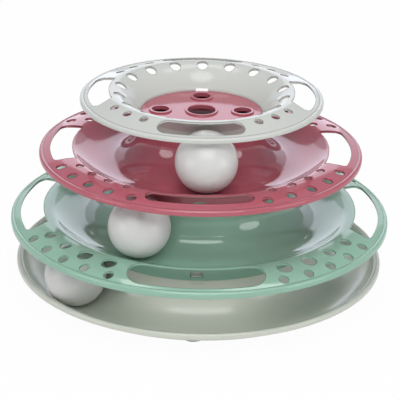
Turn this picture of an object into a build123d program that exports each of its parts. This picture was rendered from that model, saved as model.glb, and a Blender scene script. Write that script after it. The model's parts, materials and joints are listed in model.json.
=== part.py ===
from build123d import *
import os
from math import cos, degrees, radians, sin, tan

# A free-standing tower of four moulded dishes that clip on each other, with a ball running in each of the
# three ring tracks between them. Millimetres, +Z up, the tower's axis on Z, the feet standing on Z = 0.
# Azimuths are in degrees from the front (-Y), positive towards the right (+X).

# Mouldings in general
wall = 1.6
overrun = 5.0

# Rims: a crease and a raised bead run round the edge of each tier, as shares of its wall
crease_share = 0.34
bead_share = 0.935
bead_angle = 25.0

# Balls
ball_diameter = 39.5
ball_wall = 1.2
ball_running_gap = 0.3
ball_side_gap = 0.45
lower_ball_azimuth = -52.4
middle_ball_azimuth = -27.8
upper_ball_azimuth = 3.5

# Tracks: a narrow flat, with a round sweep up to the hub, whose seat lies below the ball's top
track_flat = 1.0
seat_drop = 13.0

# Base dish: the reach runs from the middle of the track out to the rim
base_reach = 22.6
base_rim_drop = 2.0
base_floor = 6.6
base_dish_angle = 57.0
base_lip_radius = 2.4

# Lower track ring: its track lies a step outside the skirt that stands on the base
lower_reach = 45.0
lower_rim_drop = 2.6
lower_track_step = 1.7
lower_floor_rise = 13.0
lower_dish_angle = 31.7
lower_lip_radius = 10.0
lower_flange_angle = 25.5
lower_flange_radius = 49.0
lower_turn_angle = -0.6

# Middle track ring
middle_track_radius = 61.5
middle_reach = 44.3
middle_rim_drop = 1.95
middle_track_step = 2.2
middle_floor_rise = 14.4
middle_dish_angle = 34.7
middle_lip_radius = 8.0
middle_flange_angle = 18.0
middle_flange_radius = 53.0

# Top ring: a bowl whose brow turns over into a sloping flange, with a crest that clears the ball below it
top_ball_gap = 4.3
top_rim_drop = 1.5
top_skirt_rise = 4.35
top_foot_radius = 3.0
top_bowl_angle = 40.0
top_brow_radius = 11.0
top_flange_angle = 15.5
top_flange_run = 14.65

# Seats: the skirt of each ring stands on a shoulder of the hub below, round a spigot with four catches
seat_clearance = 0.15
spigot_rise = 6.5
web_width = 12.0
window_width = 8.0
window_height = 3.6
window_sill = 2.3
catch_width = 7.0
catch_height = 1.8
catch_land = 0.6
catch_reach = 1.5
catch_gap = 0.2
ledge_width = 7.2
ledge_height = 1.2
ledge_reach = 0.7
ledge_drop = 1.4
clip_count = 4

# Plate on the middle hub, with a raised collar round each socket
plate_rise = 4.4
socket_diameter = 18.0
collar_diameter = 21.6
side_socket_diameter = 11.5
side_collar_diameter = 15.2
side_socket_inset = 14.1
side_socket_count = 4
collar_height = 1.0

# Cut-outs at the left and right of each flange, and slots at its front and back, each set in from the rim
cutout_corner_radius = 4.0
lower_cutout_inset = 6.5
lower_cutout_width = 15.1
lower_cutout_inner_angle = 19.3
lower_cutout_outer_angle = 22.4
middle_cutout_inset = 7.3
middle_cutout_width = 14.3
middle_cutout_inner_angle = 19.6
middle_cutout_outer_angle = 18.6
top_cutout_inset = 5.0
top_cutout_width = 13.5
top_cutout_inner_angle = 18.4
top_cutout_outer_angle = 23.2
lower_slot_inset = 4.8
lower_slot_width = 22.0
lower_slot_angle = 22.5
middle_slot_inset = 8.6
middle_slot_width = 11.3
middle_slot_angle = 21.1
top_slot_inset = 4.8
top_slot_width = 13.7
top_slot_angle = 23.4

# Rows of round holes between the slots and the cut-outs, each row set in from the rim
lower_outer_inset = 6.7
lower_outer_hole_diameter = 6.3
lower_outer_first_angle = 26.9
lower_outer_pitch_angle = 8.85
lower_outer_count = 5
lower_inner_inset = 16.6
lower_inner_hole_diameter = 9.8
lower_inner_first_angle = 29.9
lower_inner_pitch_angle = 10.0
lower_inner_count = 4
middle_outer_inset = 8.2
middle_outer_hole_diameter = 6.6
middle_outer_first_angle = 25.2
middle_outer_pitch_angle = 9.9
middle_outer_count = 5
middle_inner_inset = 19.0
middle_inner_hole_diameter = 5.2
middle_inner_first_angle = 31.0
middle_inner_pitch_angle = 10.1
middle_inner_count = 4
top_row_inset = 14.2
top_hole_diameter = 5.5
top_row_first_angle = 33.5
top_row_pitch_angle = 12.2
top_row_count = 3
brow_row_inset = 25.4
brow_hole_width = 7.3
brow_hole_reach = 5.5
brow_hole_count = 18

# Feet, pressed into round sockets under the base
foot_diameter = 13.0
foot_height = 4.2
foot_chamfer = 0.6
foot_inset = 7.5
foot_socket_wall = 1.8
foot_show = 1.4
foot_clearance = 0.05
foot_turn_angle = -1.5
foot_sides = {"front": 0, "right": 90, "back": 180, "left": 270}

# Places that follow from the sizes above
ball_radius = ball_diameter / 2
crease_radius = crease_share * wall
bead_radius = bead_share * wall
hub_sweep_radius = ball_radius + ball_side_gap
hub_inset = track_flat / 2 + hub_sweep_radius
seat_rise = ball_diameter - seat_drop
lower_track_radius = middle_track_radius - middle_track_step + hub_inset
base_track_radius = lower_track_radius - lower_track_step + hub_inset
foot_circle_radius = base_track_radius - foot_inset
base_seat = base_floor + seat_rise
lower_floor = base_seat + lower_floor_rise
lower_seat = lower_floor + seat_rise
middle_floor = lower_seat + middle_floor_rise
middle_seat = middle_floor + seat_rise


def polar(radius, azimuth, height=0):
    """Point at a radius and an azimuth from the front."""
    turn = radians(azimuth)
    return Vector(radius * sin(turn), -radius * cos(turn), height)


def trace(start, heading, steps, inset):
    """Lines and arcs along the steps, on a path moved by the inset to the right of the way it runs."""
    turn = radians(heading)
    point = Vector(*start) + Vector(sin(turn), -cos(turn)) * inset
    edges = []
    for radius, angle in steps:
        way = Vector(cos(radians(heading)), sin(radians(heading)))
        if angle == 0:
            edges.append(Line(point, point + way * radius))
        elif angle > 0:
            edges.append(JernArc(point, way, radius + inset, angle))
        else:
            edges.append(JernArc(point, way, radius - inset, angle))
        heading += angle
        point = edges[-1] @ 1
    return edges


def wall_section(start, heading, steps, flange_angle, rim_drop):
    """Section of a moulded wall whose upper side follows the steps and ends in a crease, a bead and a rim."""
    rim = [(crease_radius, flange_angle + bead_angle), (bead_radius, -90 - bead_angle), (rim_drop, 0)]
    upper = trace(start, heading, steps + rim, 0)
    under = trace(start, heading, steps, wall)
    rim_foot = upper[-1] @ 1
    flange_end = under[-1] @ 1
    run = rim_foot.X - wall - flange_end.X
    corner = flange_end + Vector(run, -run * tan(radians(flange_angle)))
    if steps[-1][1] == 0:
        flange_end = under.pop() @ 0
    ends = [Polyline(flange_end, corner, (corner.X, rim_foot.Y), rim_foot), Line(upper[0] @ 0, under[0] @ 0)]
    return make_face(upper + under + ends)


def box_section(inner, outer, bottom, top):
    """Upright rectangle between two radii and two heights."""
    return make_face(Polyline((inner, bottom), (outer, bottom), (outer, top), (inner, top), close=True))


def turned(section):
    """Solid swept by a section, drawn as radius and height, round the tower's axis."""
    return revolve(Plane.XZ * section, Axis.Z)


def hub_radius(track_radius):
    """Radius of the upright hub wall inside a track."""
    return track_radius - hub_inset


def spigot_radius(track_radius):
    """Radius of the spigot that the next ring's skirt goes over."""
    return hub_radius(track_radius) - wall - seat_clearance


def rim_reach(flange_radius, flange_angle):
    """Distance outwards from the crest to the rim's edge."""
    flange_share = sin(radians(flange_angle))
    bead = sin(radians(bead_angle))
    return flange_radius * flange_share + crease_radius * (bead + flange_share) + bead_radius * (bead + 1)


def track_steps(track_reach, dish_angle, lip_radius, flange_radius, flange_angle):
    """Steps of a track from the hub's shoulder down, across the floor, over the lip and down the flange."""
    reach = track_reach - track_flat / 2 - rim_reach(flange_radius, flange_angle)
    dish_radius = reach / sin(radians(dish_angle)) - lip_radius
    inside = [(seat_rise - hub_sweep_radius, 0), (hub_sweep_radius, 90), (track_flat, 0)]
    flange = [(flange_radius, -flange_angle)] if flange_angle else []
    return inside + [(dish_radius, dish_angle), (lip_radius, -dish_angle)] + flange


def hub_section(track_radius, floor, rise, opening):
    """Section of a hub's shoulder, its spigot and the web that closes in its top."""
    seat = floor + seat_rise
    hub = hub_radius(track_radius)
    spigot = spigot_radius(track_radius)
    shoulder = box_section(spigot - wall, hub, seat - wall, seat)
    tube = box_section(spigot - wall, spigot, seat - wall, seat + rise)
    web = box_section(opening, spigot, seat + rise - wall, seat + rise)
    return shoulder + tube + web


def around(piece, count, turn=0):
    """Copies of a piece, evenly spaced round the tower's axis, all turned by an angle."""
    return [Rot(0, 0, turn + 360 / count * i) * piece for i in range(count)]


def catches(track_radius, seat, turn=0):
    """Wedge-shaped catches on a spigot, and the small ledges on the hub wall below them."""
    spigot = spigot_radius(track_radius)
    hub = hub_radius(track_radius)
    sill = seat + window_sill + catch_gap
    wedge = make_face(
        Polyline(
            (spigot - wall / 2, sill),
            (spigot + catch_reach, sill),
            (spigot + catch_reach, sill + catch_land),
            (spigot, sill + catch_height),
            (spigot - wall / 2, sill + catch_height),
            close=True,
        )
    )
    under = seat - ledge_drop
    ledge = make_face(
        Polyline(
            (hub - wall / 2, under),
            (hub, under),
            (hub + ledge_reach, under - ledge_reach),
            (hub + ledge_reach, under - ledge_height),
            (hub - wall / 2, under - ledge_height),
            close=True,
        )
    )
    catch = extrude(Plane.XZ * wedge, catch_width / 2, both=True)
    shelf = extrude(Plane.XZ * ledge, ledge_width / 2, both=True)
    return around(catch, clip_count, turn) + around(shelf, clip_count, turn)


def windows(skirt_radius, seat, turn=0):
    """Cutters for the windows in a skirt, where the catches of the hub below snap in."""
    middle = seat + window_sill + window_height / 2
    window = Pos(skirt_radius - wall / 2, 0, middle) * Box(wall + overrun, window_width, window_height)
    return around(window, clip_count, turn)


def row(radius, diameter, first, pitch, count):
    """Holes of one row, the same in each quarter between a slot and a cut-out."""
    quarter = [first + pitch * i for i in range(count)]
    front = quarter + [-place for place in quarter]
    back = [180 - place for place in front]
    return [Pos(polar(radius, place)) * Circle(diameter / 2) for place in front + back]


def slots(outer, width, angle):
    """Curved slots with round ends at the front and the back of a flange."""
    radius = outer - width / 2
    half = angle - degrees(width / 2 / radius)
    front = SlotArc(CenterArc((0, 0), radius, 270 - half, 2 * half), width)
    return [front, Rot(0, 0, 180) * front]


def cutouts(outer, width, inner_angle, outer_angle):
    """Openings at the right and the left of a flange, which leave only its rim standing."""
    outline = [
        CenterArc((0, 0), outer - width, -inner_angle, 2 * inner_angle),
        CenterArc((0, 0), outer, -outer_angle, 2 * outer_angle),
    ]
    outline += [Line(outline[0] @ end, outline[1] @ end) for end in (0, 1)]
    right = make_face(outline)
    outside = right.vertices().sort_by_distance((0, 0, 0))[2:]
    right = fillet(outside, cutout_corner_radius)
    return [right, Rot(0, 0, 180) * right]


def pierced(ring, shapes, bottom, top):
    """Ring with flat shapes cut straight down through it."""
    return ring - [extrude(Pos(0, 0, bottom) * shape, top - bottom) for shape in shapes]


def track_ring(floor, seat_below, skirt_radius, section, track_radius, rise, opening, shapes, turn=0):
    """A track dish on its hub, with a skirt and a pierced flange, both turned a little on the hub below."""
    skirt = box_section(skirt_radius - wall, skirt_radius, seat_below, floor - wall / 2)
    ring = turned(section + skirt + hub_section(track_radius, floor, rise, opening))
    ring = pierced(ring, [Rot(0, 0, turn) * shape for shape in shapes], seat_below, floor + seat_rise)
    return ring - windows(skirt_radius, seat_below, turn) + catches(track_radius, floor + seat_rise)


def base_dish():
    """The lowest track, standing on four feet in round sockets under its floor."""
    steps = track_steps(base_reach, base_dish_angle, base_lip_radius, 0, 0)
    start = (hub_radius(base_track_radius), base_seat)
    section = wall_section(start, 270, steps, 0, base_rim_drop)
    opening = spigot_radius(base_track_radius) - wall - web_width
    dish = turned(section + hub_section(base_track_radius, base_floor, spigot_rise, opening))
    upper = trace(start, 270, steps, 0)
    lid = Polyline(upper[0] @ 0, ((upper[-1] @ 1).X, base_seat), upper[-1] @ 1)
    air = turned(make_face(upper + [lid]))
    socket_radius = foot_diameter / 2 + foot_clearance
    post = Pos(0, -foot_circle_radius, foot_show) * Cylinder(
        socket_radius + foot_socket_wall, base_seat - foot_show, align=(Align.CENTER, Align.CENTER, Align.MIN)
    )
    hub_void = turned(box_section(0, hub_radius(base_track_radius) - wall, 0, base_seat))
    pocket = Pos(0, -foot_circle_radius, 0) * Cylinder(
        socket_radius, foot_height, align=(Align.CENTER, Align.CENTER, Align.MIN)
    )
    feet = len(foot_sides)
    posts = around(post - air - hub_void, feet, foot_turn_angle)
    dish = dish + posts - around(pocket, feet, foot_turn_angle)
    return dish + catches(base_track_radius, base_seat, lower_turn_angle)


def lower_track_ring():
    """The widest ring, with two rows of holes in a domed flange."""
    steps = track_steps(
        lower_reach, lower_dish_angle, lower_lip_radius, lower_flange_radius, lower_flange_angle
    )
    start = (hub_radius(lower_track_radius), lower_seat)
    section = wall_section(start, 270, steps, lower_flange_angle, lower_rim_drop)
    rim = lower_track_radius + lower_reach
    shapes = row(
        rim - lower_outer_inset,
        lower_outer_hole_diameter,
        lower_outer_first_angle,
        lower_outer_pitch_angle,
        lower_outer_count,
    )
    shapes += row(
        rim - lower_inner_inset,
        lower_inner_hole_diameter,
        lower_inner_first_angle,
        lower_inner_pitch_angle,
        lower_inner_count,
    )
    shapes += slots(rim - lower_slot_inset, lower_slot_width, lower_slot_angle)
    shapes += cutouts(
        rim - lower_cutout_inset, lower_cutout_width, lower_cutout_inner_angle, lower_cutout_outer_angle
    )
    opening = spigot_radius(lower_track_radius) - wall - web_width
    skirt_radius = hub_radius(base_track_radius)
    return track_ring(
        lower_floor,
        base_seat,
        skirt_radius,
        section,
        lower_track_radius,
        spigot_rise,
        opening,
        shapes,
        lower_turn_angle,
    )


def middle_track_ring():
    """The middle ring, whose hub is closed by a plate with five collared sockets."""
    steps = track_steps(
        middle_reach, middle_dish_angle, middle_lip_radius, middle_flange_radius, middle_flange_angle
    )
    start = (hub_radius(middle_track_radius), middle_seat)
    section = wall_section(start, 270, steps, middle_flange_angle, middle_rim_drop)
    rim = middle_track_radius + middle_reach
    shapes = row(
        rim - middle_outer_inset,
        middle_outer_hole_diameter,
        middle_outer_first_angle,
        middle_outer_pitch_angle,
        middle_outer_count,
    )
    shapes += row(
        rim - middle_inner_inset,
        middle_inner_hole_diameter,
        middle_inner_first_angle,
        middle_inner_pitch_angle,
        middle_inner_count,
    )
    shapes += slots(rim - middle_slot_inset, middle_slot_width, middle_slot_angle)
    shapes += cutouts(
        rim - middle_cutout_inset, middle_cutout_width, middle_cutout_inner_angle, middle_cutout_outer_angle
    )
    skirt_radius = hub_radius(lower_track_radius)
    ring = track_ring(
        middle_floor, lower_seat, skirt_radius, section, middle_track_radius, plate_rise, 0, shapes
    )
    plate_top = middle_seat + plate_rise
    collars, sockets = [], []
    side = Pos(0, side_socket_inset - hub_radius(middle_track_radius), 0)
    for count, spot, bore, collar in (
        (1, Pos(0, 0, 0), socket_diameter, collar_diameter),
        (side_socket_count, side, side_socket_diameter, side_collar_diameter),
    ):
        boss = Cylinder(collar / 2, wall + collar_height, align=(Align.CENTER, Align.CENTER, Align.MIN))
        hole = Cylinder(bore / 2, wall + collar_height + 2 * overrun)
        collars += around(Pos(0, 0, plate_top - wall) * spot * boss, count)
        sockets += around(Pos(0, 0, plate_top) * spot * hole, count)
    return ring + collars - sockets


def top_ring():
    """The open bowl at the top: a skirt on the middle hub, a flared wall, a brow and a sloping flange."""
    inner = hub_radius(middle_track_radius) - wall
    crest = middle_floor + ball_running_gap + ball_diameter + top_ball_gap + wall
    bowl = radians(top_bowl_angle)
    foot_rise = top_foot_radius * cos(bowl)
    brow_rise = top_brow_radius * (1 - cos(bowl))
    bowl_rise = crest - middle_seat - top_skirt_rise - foot_rise - brow_rise
    steps = [
        (top_skirt_rise, 0),
        (top_foot_radius, top_bowl_angle - 90),
        (bowl_rise / sin(bowl), 0),
        (top_brow_radius, -top_bowl_angle - top_flange_angle),
        (top_flange_run, 0),
    ]
    start = (inner, middle_seat)
    ring = turned(wall_section(start, 90, steps, top_flange_angle, top_rim_drop))
    rim = (trace(start, 90, steps, 0)[-1] @ 1).X + rim_reach(0, top_flange_angle)
    shapes = row(
        rim - top_row_inset, top_hole_diameter, top_row_first_angle, top_row_pitch_angle, top_row_count
    )
    shapes += slots(rim - top_slot_inset, top_slot_width, top_slot_angle)
    shapes += cutouts(
        rim - top_cutout_inset, top_cutout_width, top_cutout_inner_angle, top_cutout_outer_angle
    )
    brow_hole = Ellipse(brow_hole_width / 2, brow_hole_reach / 2)
    shapes += around(Pos(0, rim - brow_row_inset) * brow_hole, brow_hole_count)
    ring = pierced(ring, shapes, middle_seat, middle_seat + seat_rise)
    return ring - windows(inner + wall, middle_seat)


def ball(track_radius, floor, azimuth):
    """A hollow ball standing just clear of its track's floor."""
    height = floor + ball_running_gap + ball_radius
    return Pos(polar(track_radius, azimuth, height)) * (Sphere(ball_radius) - Sphere(ball_radius - ball_wall))


def rubber_foot(azimuth):
    """A round foot in its socket, with its lower edge eased."""
    pad = Cylinder(foot_diameter / 2, foot_height, align=(Align.CENTER, Align.CENTER, Align.MIN))
    pad = chamfer(pad.edges().group_by(Axis.Z)[0], foot_chamfer)
    return Pos(polar(foot_circle_radius, azimuth)) * pad


parts = {
    "base_dish": base_dish(),
    "lower_track_ring": lower_track_ring(),
    "middle_track_ring": middle_track_ring(),
    "top_ring": top_ring(),
    "lower_ball": ball(base_track_radius, base_floor, lower_ball_azimuth),
    "middle_ball": ball(lower_track_radius, lower_floor, middle_ball_azimuth),
    "upper_ball": ball(middle_track_radius, middle_floor, upper_ball_azimuth),
}
for side_name, side_azimuth in foot_sides.items():
    parts["rubber_foot_" + side_name] = rubber_foot(side_azimuth + foot_turn_angle)

os.makedirs("parts", exist_ok=True)
for name, piece in parts.items():
    export_step(piece, "parts/" + name + ".step")
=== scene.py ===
"""Cat ball track toy: stacked ring tracks with a loose ball in each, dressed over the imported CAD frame.

Sizes in the classes are in millimetres unless they say otherwise, in the CAD's own frame: +Z up along the
tower's axis, -Y to the front, +X to the right, the feet standing on Z = 0. Azimuths are in degrees from the
front, positive to the right.
"""

from __future__ import annotations

import json
import logging
from bisect import bisect_left
from dataclasses import dataclass, field, replace
from enum import Enum
from math import asin, atan2, copysign, cos, degrees, hypot, pi, radians, sin, sqrt, tan, tau

import bpy
from bpy.types import Material, Node, NodeSocket, NodeTree, Object
from mathutils import Euler, Matrix, Vector

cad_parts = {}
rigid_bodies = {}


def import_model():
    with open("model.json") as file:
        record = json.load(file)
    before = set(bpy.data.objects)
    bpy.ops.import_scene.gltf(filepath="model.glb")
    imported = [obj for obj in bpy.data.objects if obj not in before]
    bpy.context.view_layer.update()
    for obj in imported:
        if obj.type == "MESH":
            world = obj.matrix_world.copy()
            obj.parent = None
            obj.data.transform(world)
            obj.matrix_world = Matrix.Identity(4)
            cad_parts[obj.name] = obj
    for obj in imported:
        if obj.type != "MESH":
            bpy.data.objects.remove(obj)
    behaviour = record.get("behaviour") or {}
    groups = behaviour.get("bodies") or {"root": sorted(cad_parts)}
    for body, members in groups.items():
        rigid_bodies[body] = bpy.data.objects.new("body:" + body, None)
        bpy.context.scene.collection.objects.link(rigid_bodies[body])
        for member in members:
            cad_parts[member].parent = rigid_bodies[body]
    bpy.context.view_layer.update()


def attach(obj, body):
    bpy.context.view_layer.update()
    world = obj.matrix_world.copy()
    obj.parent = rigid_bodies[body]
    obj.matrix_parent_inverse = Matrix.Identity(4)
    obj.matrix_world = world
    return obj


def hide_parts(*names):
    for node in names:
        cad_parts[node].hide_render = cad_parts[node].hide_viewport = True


LOG = logging.getLogger("ball_tower")
MM = 0.001
JOIN_GAP = MM * 1e-3
SAME_RADIUS = 1e-4
LEVEL_NORMAL = 0.5
ROUND_PROFILE = 0.5
ROUND_FACETS = 64
EASE_STEPS = 3

Point = tuple[float, float]
Colour = tuple[float, float, float]


class Flat(Enum):
    """The flat that a pen draws in."""

    SECTION = "radius and height"
    PLAN = "seen from above"


class Join(Enum):
    """How a second shape is brought into a piece."""

    UNITE = "UNION"
    CUT = "DIFFERENCE"


class LampShape(Enum):
    """The outline of a soft lamp."""

    ELLIPSE = "ELLIPSE"
    RECTANGLE = "RECTANGLE"


def deselect_all() -> None:
    """Leaves object mode with nothing selected."""
    if bpy.context.object and bpy.context.object.mode != "OBJECT":
        bpy.ops.object.mode_set(mode="OBJECT")
    bpy.ops.object.select_all(action="DESELECT")


def pick(obj: Object) -> None:
    """Makes one object the only selected and the active one."""
    deselect_all()
    obj.select_set(True)
    bpy.context.view_layer.objects.active = obj


def combine(obj: Object, tool: Object, how: Join) -> None:
    """Unites a piece with another shape, or cuts that shape out of it, and removes the shape.

    Args:
        obj: The piece that stays.
        tool: The shape that is used up.
        how: Whether the shape is added or cut out.
    """
    pick(obj)
    bpy.ops.object.modifier_add(type="BOOLEAN")
    change = obj.modifiers[-1]
    change.operation = how.value
    change.solver = "MANIFOLD"
    change.object = tool
    bpy.ops.object.modifier_apply(modifier=change.name)
    bpy.data.objects.remove(tool, do_unlink=True)


def smooth(obj: Object, angle: float) -> None:
    """Shades a piece smooth up to an angle in degrees, with normals that favour its large faces."""
    pick(obj)
    bpy.ops.object.shade_smooth_by_angle(angle=radians(angle))
    bpy.ops.object.modifier_add(type="WEIGHTED_NORMAL")
    change = obj.modifiers[-1]
    change.keep_sharp = True
    bpy.ops.object.modifier_apply(modifier=change.name)


def set_mode(mode: str) -> None:
    """Goes into edit mode or back to object mode."""
    bpy.ops.object.mode_set(mode=mode)


def select_mesh(chosen: bool = True) -> None:
    """Selects the whole mesh in edit mode, or none of it."""
    bpy.ops.mesh.select_all(action="SELECT" if chosen else "DESELECT")


def extrude(step: Vector | tuple[float, float, float]) -> None:
    """Extrudes what is selected in edit mode by a step in metres."""
    bpy.ops.mesh.extrude_region_move(TRANSFORM_OT_translate={"value": step})


def on_circle(radius: float, azimuth: float) -> Vector:
    """Gives the place on a circle round the tower's axis, in the circle's own unit."""
    turn = radians(azimuth)
    return Vector((sin(turn) * radius, -cos(turn) * radius, 0))


def meeting(start: Vector, way: Vector, radius: float) -> Vector:
    """Gives the place where a line from a point meets a circle round the axis, seen from above."""
    along = start.dot(way)
    return start + way * (-along + sqrt(along**2 + radius**2 - start.length_squared))


def finish_mesh(gap: float = 0.0) -> None:
    """Joins points that lie within a gap, turns the faces outwards and leaves edit mode."""
    select_mesh()
    if gap:
        bpy.ops.mesh.remove_doubles(threshold=gap)
    bpy.ops.mesh.normals_make_consistent(inside=False)
    set_mode("OBJECT")


def repeat_round(count: int) -> None:
    """Copies what is selected in edit mode round the tower's axis, evenly spaced."""
    share = (count - 1) / count
    bpy.ops.mesh.spin(steps=count - 1, dupli=True, angle=tau * share, center=(0, 0, 0), axis=(0, 0, 1))


class Pen:
    """Draws runs of lines and arcs as mesh edges, by extruding and spinning one end point."""

    def __init__(self, name: str, flat: Flat) -> None:
        """Starts an empty mesh in edit mode.

        Args:
            name: Name of the new object.
            flat: The flat that it draws in.
        """
        deselect_all()
        bpy.ops.mesh.primitive_plane_add(size=MM)
        self.obj = bpy.context.object
        self.obj.name = name
        self.flat = flat
        self.at: Point = (0.0, 0.0)
        self.heading = 0.0
        self.trail: list[Point] = []
        set_mode("EDIT")
        bpy.ops.mesh.select_mode(type="VERT")
        select_mesh()
        bpy.ops.mesh.delete(type="VERT")

    def place(self, point: Point) -> Vector:
        """Gives a drawn point's place in the scene."""
        if self.flat is Flat.SECTION:
            return Vector((point[0], 0, point[1])) * MM
        return Vector((point[0], point[1], 0)) * MM

    def begin(self, point: Point, heading: float) -> None:
        """Sets the pen down at a point, facing a heading in degrees."""
        select_mesh(False)
        bpy.ops.mesh.primitive_plane_add(size=MM, location=self.place(point))
        bpy.ops.mesh.merge(type="CENTER")
        self.at, self.heading = point, heading
        self.trail.append(point)

    def line_to(self, point: Point) -> None:
        """Draws a straight run to a point, which also turns the pen that way."""
        step = self.place(point) - self.place(self.at)
        extrude(step)
        self.heading = degrees(atan2(point[1] - self.at[1], point[0] - self.at[0]))
        self.at = point
        self.trail.append(point)

    def line(self, length: float, pieces: int = 1) -> None:
        """Draws a straight run the way the pen faces, in one or more equal pieces."""
        way = radians(self.heading)
        step = Vector((cos(way), sin(way))) * (length / pieces)
        for _ in range(pieces):
            self.line_to((self.at[0] + step.x, self.at[1] + step.y))

    def arc(self, radius: float, turn: float, steps: int) -> None:
        """Draws an arc that leaves the way the pen faces.

        Args:
            radius: The arc's radius.
            turn: Degrees that it turns, positive to the left.
            steps: Number of edges.
        """
        side = copysign(1.0, turn)
        start = radians(self.heading)
        centre = (self.at[0] - sin(start) * radius * side, self.at[1] + cos(start) * radius * side)
        axis = (0, side, 0) if self.flat is Flat.SECTION else (0, 0, -side)
        bpy.ops.mesh.spin(
            steps=steps, angle=radians(abs(turn)), center=self.place(centre), axis=axis
        )
        for step in range(1, steps + 1):
            way = start + radians(turn) * step / steps
            self.trail.append(
                (centre[0] + sin(way) * radius * side, centre[1] - cos(way) * radius * side)
            )
        self.at = self.trail[-1]
        self.heading += turn

    def close(self) -> None:
        """Joins the run's end to its start and fills a plan outline with a face."""
        bpy.ops.mesh.select_linked()
        bpy.ops.mesh.remove_doubles(threshold=JOIN_GAP)
        if self.flat is Flat.PLAN:
            bpy.ops.mesh.edge_face_add()

    def turned(self, steps: int) -> Object:
        """Turns the section round the tower's axis into a closed solid.

        Args:
            steps: Number of faces round the axis.

        Returns:
            The finished object, in object mode.
        """
        select_mesh()
        bpy.ops.mesh.remove_doubles(threshold=JOIN_GAP)
        bpy.ops.mesh.spin(steps=steps, angle=tau, center=(0, 0, 0), axis=(0, 0, 1))
        finish_mesh(JOIN_GAP)
        return self.obj


def round_bars(
    name: str, circle: float, radius: float, span: Point, count: int, ease: float = 0.0
) -> Object:
    """Makes upright round bars on a circle, the first at the front.

    Args:
        name: Name of the new object.
        circle: Radius of the circle that they stand on.
        radius: Radius of a bar.
        span: Heights of its two ends.
        count: Number of bars.
        ease: Width of the bevel at its upper edge, if it has one.

    Returns:
        One object with all the bars.
    """
    bottom, top = span
    pen = Pen(name, Flat.PLAN)
    select_mesh(False)
    bpy.ops.mesh.primitive_cylinder_add(
        vertices=ROUND_FACETS,
        radius=radius * MM,
        depth=(top - bottom) * MM,
        location=(0, -circle * MM, (top + bottom) / 2 * MM),
    )
    if ease:
        set_mode("OBJECT")
        for edge in pen.obj.data.edges:
            ends = [pen.obj.data.vertices[index].co.z for index in edge.vertices]
            edge.select = min(ends) > (top - ease / 2) * MM
        set_mode("EDIT")
        bpy.ops.mesh.select_mode(type="EDGE")
        bpy.ops.mesh.bevel(offset=ease * MM, segments=EASE_STEPS, profile=ROUND_PROFILE)
    select_mesh()
    repeat_round(count)
    set_mode("OBJECT")
    return pen.obj


def height_on(points: list[Point], radius: float) -> float:
    """Gives the height of a drawn surface at a radius.

    Args:
        points: The surface's points, by rising radius.
        radius: Where the height is wanted.

    Returns:
        The height, straight between the two nearest points.
    """
    place = bisect_left([point[0] for point in points], radius)
    place = min(max(place, 1), len(points) - 1)
    (inner, low), (outer, high) = points[place - 1], points[place]
    share = min(max((radius - inner) / (outer - inner), 0), 1)
    return low + (high - low) * share


def rising(points: list[Point]) -> list[Point]:
    """Sorts a surface's points by radius and leaves out those that share one."""
    kept: list[Point] = []
    for point in sorted(points):
        if not kept or point[0] - kept[-1][0] > SAME_RADIUS:
            kept.append(point)
    return kept


@dataclass(frozen=True)
class Wall:
    """Sizes that every moulded tier shares."""

    thickness: float = 1.6
    ease: float = 0.35
    crease: float = 0.544
    bead: float = 1.496
    bead_angle: float = 25.0
    corner: float = 0.4
    sweep: float = 20.2
    flat: float = 1.0
    seat_rise: float = 26.5
    seat_gap: float = 0.15
    corner_share: float = 0.9
    crease_steps: int = 6
    bead_steps: int = 10
    facets: int = 240

    def end(self, pen: Pen) -> None:
        """Draws the wall's end, turning right at both of its eased edges."""
        pen.arc(self.ease, -90, EASE_STEPS)
        pen.line(self.thickness - 2 * self.ease)
        pen.arc(self.ease, -90, EASE_STEPS)

    def rim_reach(self, flange_radius: float, flange_angle: float) -> float:
        """Gives the distance outwards from a crest to the rim's edge."""
        flange, bead = sin(radians(flange_angle)), sin(radians(self.bead_angle))
        return flange_radius * flange + self.crease * (bead + flange) + self.bead * (bead + 1)

    def rim(self, pen: Pen, flange_angle: float, drop: float) -> None:
        """Draws the crease, the bead, the upright rim and its corner, up to the flange's underside.

        Args:
            pen: A pen at the flange's outer end.
            flange_angle: How steeply the flange falls there, in degrees.
            drop: Height of the upright edge.
        """
        way = radians(flange_angle)
        under = (pen.at[0] - self.thickness * sin(way), pen.at[1] - self.thickness * cos(way))
        pen.arc(self.crease, flange_angle + self.bead_angle, self.crease_steps)
        pen.arc(self.bead, -90 - self.bead_angle, self.bead_steps)
        pen.line(drop - self.ease)
        self.end(pen)
        run = pen.at[0] - under[0]
        tangent = self.corner * tan(radians(45 - flange_angle / 2))
        tangent = min(tangent, self.corner_share * run / cos(way))
        radius = tangent / tan(radians(45 - flange_angle / 2))
        pen.line_to((pen.at[0], under[1] - run * tan(way) - tangent))
        pen.arc(radius, 90 - flange_angle, EASE_STEPS)
        pen.line_to(under)
        pen.heading = 180 - flange_angle


@dataclass(frozen=True)
class Hole:
    """A round hole through a flange, or an oval one where a reach along the radius is given."""

    radius: float
    azimuth: float
    width: float
    reach: float = 0.0
    facets: int = 36

    def outline(self, pen: Pen, spread: float) -> None:
        """Draws the hole from above.

        Args:
            pen: A plan pen; not used.
            spread: How far outside its edge it is drawn.
        """
        across, along = self.width / 2 + spread, (self.reach or self.width) / 2 + spread
        select_mesh(False)
        bpy.ops.mesh.primitive_circle_add(
            vertices=self.facets,
            radius=across * MM,
            fill_type="NGON",
            location=on_circle(self.radius, self.azimuth) * MM,
            rotation=(0, 0, radians(self.azimuth)),
            scale=(1, along / across, 1),
        )


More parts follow.
